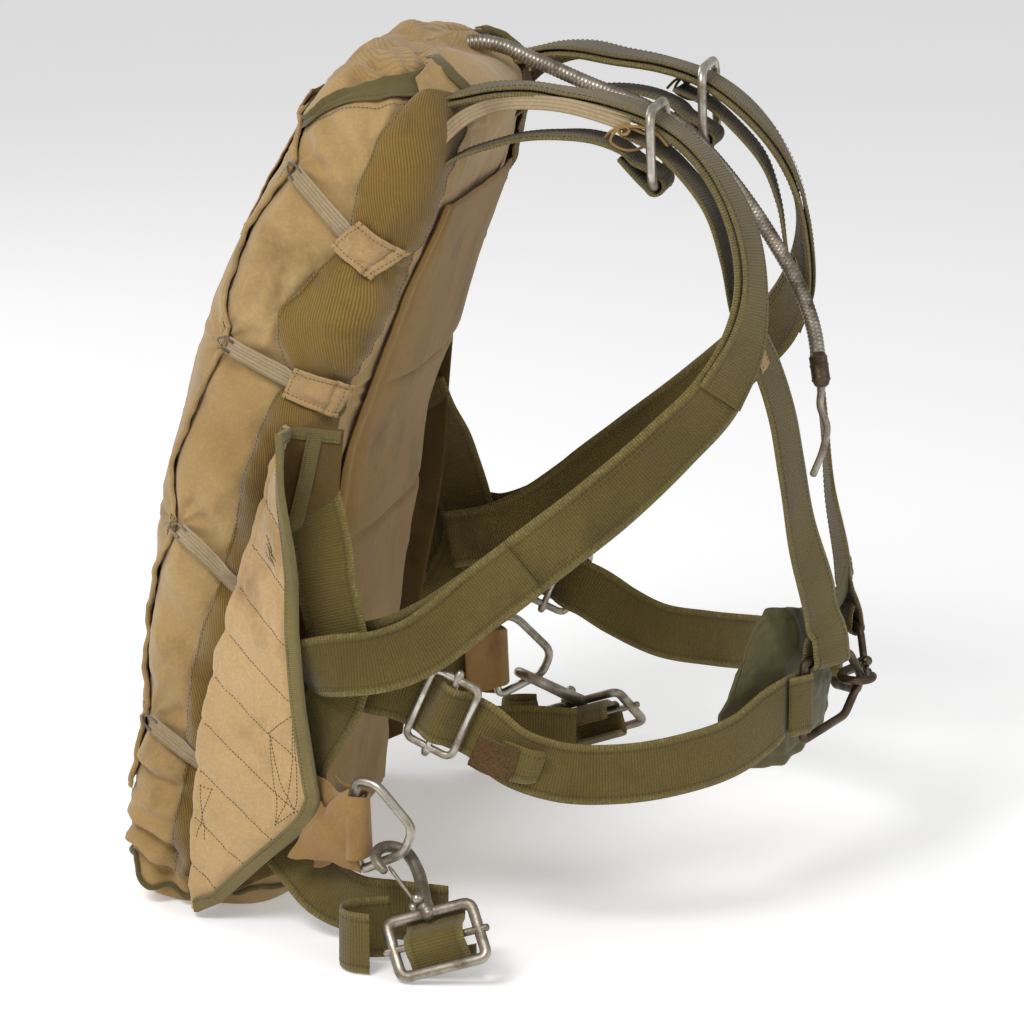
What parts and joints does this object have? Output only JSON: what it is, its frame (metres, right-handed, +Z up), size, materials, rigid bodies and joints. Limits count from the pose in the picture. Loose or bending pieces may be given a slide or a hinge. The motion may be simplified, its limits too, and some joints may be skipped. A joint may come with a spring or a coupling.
{
  "type": "packed parachute",
  "caption": "Back type parachute packed in its canvas container, with webbing body harness, snaps, rings, pads and ripcord, in worn shape",
  "frame": {"origin": "middle of the pack's flat bottom, on the surface that the pack stands on", "axes": "+X forward from the wearer's back to the chest, +Y to the wearer's left, +Z up"},
  "size_m": [0.5624, 0.6268, 0.6388],
  "materials": {
    "pack_canvas": "heavy cotton duck, worn and a little grimed",
    "flap_canvas": "cotton duck",
    "twill_band": "herringbone twill tape",
    "elastic_webbing": "ribbed elastic webbing",
    "quilted_canvas": "diagonally quilted canvas",
    "binding_tape": "olive binding tape",
    "pad_canvas": "soft cotton canvas",
    "harness_webbing": "olive linen webbing with ribs",
    "pad_satin": "worn sateen pad",
    "plated_steel": "dull cadmium plate",
    "aged_steel": "aged forged steel",
    "dark_steel": "dark aged steel",
    "conduit_steel": "coiled steel conduit"
  },
  "bodies": {
    "pack": {"back_pad": "pad_canvas", "back_strap_far": "harness_webbing", "back_strap_near": "harness_webbing", "bottom_flap": "flap_canvas", "chest_pad": "pad_satin", "chest_ring": "dark_steel", "chest_snap": "dark_steel", "drop_strap_far": "harness_webbing", "drop_strap_near": "harness_webbing", "elastic_far_1": "elastic_webbing", "elastic_far_2": "elastic_webbing", "elastic_far_3": "elastic_webbing", "elastic_far_4": "elastic_webbing", "elastic_near_1": "elastic_webbing", "elastic_near_2": "elastic_webbing", "elastic_near_3": "elastic_webbing", "elastic_near_4": "elastic_webbing", "front_strap_far": "harness_webbing", "front_strap_near": "harness_webbing", "hip_adapter_far": "plated_steel", "hip_adapter_near": "plated_steel", "housing": "conduit_steel", "housing_ferrule": "aged_steel", "leg_ring_far": "plated_steel", "leg_ring_near": "plated_steel", "leg_snap_far": "aged_steel", "leg_snap_near": "aged_steel", "leg_strap_end_far": "harness_webbing", "leg_strap_end_near": "harness_webbing", "leg_strap_far": "harness_webbing", "leg_strap_near": "harness_webbing", "leg_tail_far": "harness_webbing", "leg_tail_near": "harness_webbing", "main_sling_far": "harness_webbing", "main_sling_near": "harness_webbing", "pack_body": "pack_canvas", "pin_cover": "flap_canvas", "ring_patch_far": "pad_canvas", "ring_patch_near": "pad_canvas", "ripcord_grip": "dark_steel", "shoulder_ring_far": "plated_steel", "shoulder_ring_near": "plated_steel", "side_band_far": "twill_band", "side_band_near": "twill_band", "side_flap_far": "flap_canvas", "side_flap_near": "flap_canvas", "side_strap_far": "harness_webbing", "side_strap_near": "harness_webbing", "sleeve_far_1": "flap_canvas", "sleeve_far_2": "flap_canvas", "sleeve_near_1": "flap_canvas", "sleeve_near_2": "flap_canvas", "top_flap": "flap_canvas", "wing_binding_far": "binding_tape", "wing_binding_near": "binding_tape", "wing_far": "quilted_canvas", "wing_near": "quilted_canvas"},
    "leg_gate_near": {"leg_gate_near": "aged_steel"},
    "leg_gate_far": {"leg_gate_far": "aged_steel"},
    "chest_gate": {"chest_gate": "dark_steel"}
  },
  "joints": [
    {"name": "near_leg_snap_gate", "type": "hinge", "parent": "pack", "child": "leg_gate_near", "pos_m": [0.18861, -0.28134, 0.05197], "axis": [-0.3602, 0.3306, -0.8723], "range_deg": [0, 18], "stiffness_Nm_per_rad": 0.05, "springref_deg": -11.46},
    {"name": "far_leg_snap_gate", "type": "hinge", "parent": "pack", "child": "leg_gate_far", "pos_m": [0.18861, 0.28134, 0.05197], "axis": [0.3602, 0.3306, 0.8723], "range_deg": [0, 18], "stiffness_Nm_per_rad": 0.05, "springref_deg": -11.46},
    {"name": "chest_snap_gate", "type": "hinge", "parent": "pack", "child": "chest_gate", "pos_m": [0.47416, 0.01671, 0.165], "axis": [0, 0, -1], "range_deg": [0, 14], "stiffness_Nm_per_rad": 0.05, "springref_deg": -11.46}
  ]
}
